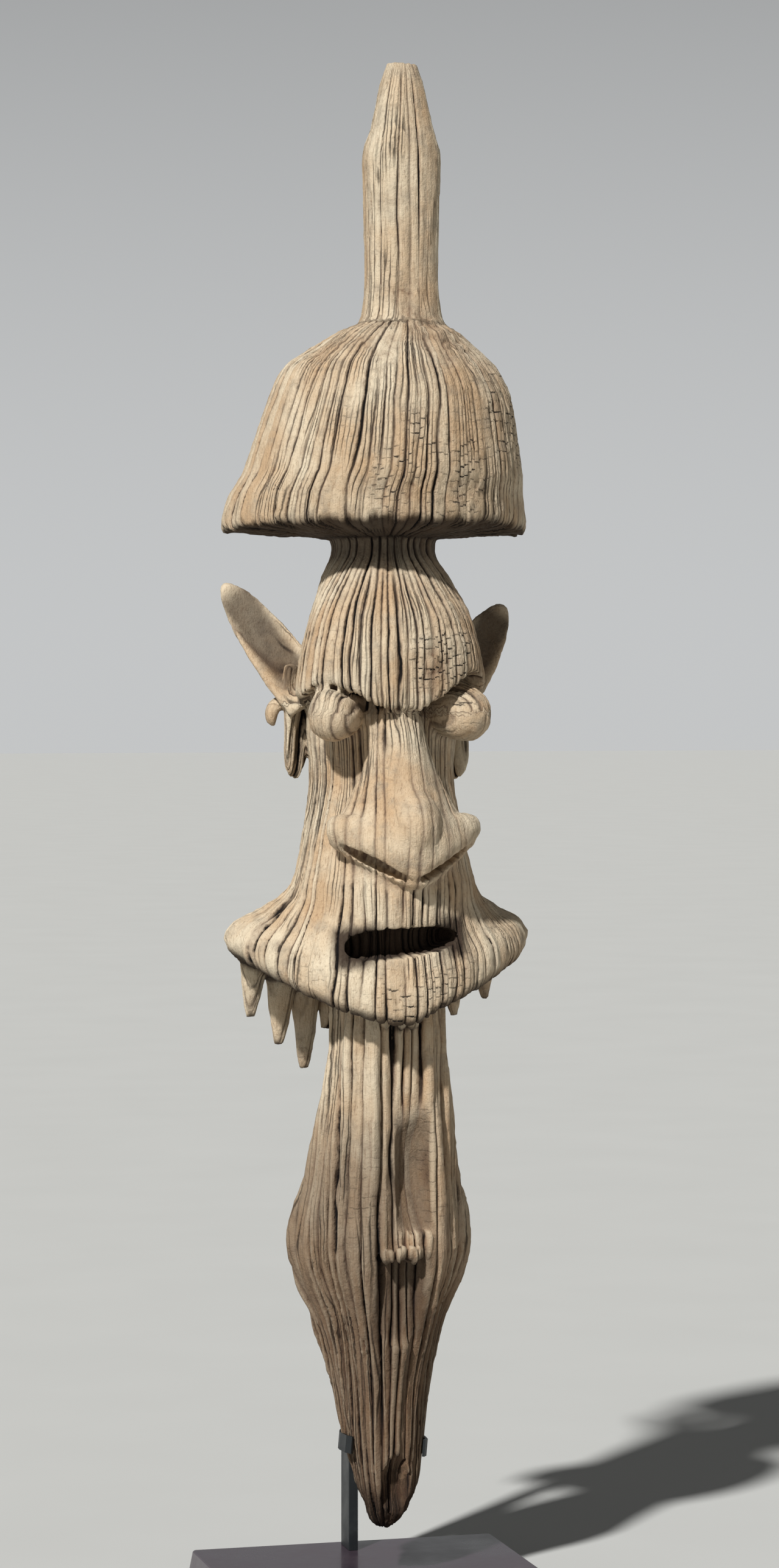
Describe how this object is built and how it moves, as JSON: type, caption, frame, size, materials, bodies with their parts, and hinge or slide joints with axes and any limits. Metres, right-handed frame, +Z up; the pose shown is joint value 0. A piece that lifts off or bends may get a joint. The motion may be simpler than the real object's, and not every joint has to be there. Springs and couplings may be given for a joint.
{
  "type": "wooden face carving on a stand",
  "caption": "Weathered wooden face with a mushroom cap, spire, flared jaw and tapering shaft, held upright by a dark metal post on a square foot.",
  "frame": {"origin": "centre of the foot's underside, on the surface that it stands on", "axes": "+Z up along the carving, -Y the way the face looks, +X to the viewer's right of the face"},
  "size_m": [0.402, 0.402, 1.887],
  "materials": {
    "weathered_wood": "dry, greyed, deeply cracked bare wood",
    "lacquered_foot": "glossy dark lacquer",
    "blackened_steel": "satin black paint"
  },
  "bodies": {
    "root": {"carving": "weathered_wood", "foot_plate": "lacquered_foot", "post": "blackened_steel", "lower_cradle": "blackened_steel", "upper_saddle": "blackened_steel"}
  },
  "joints": []
}
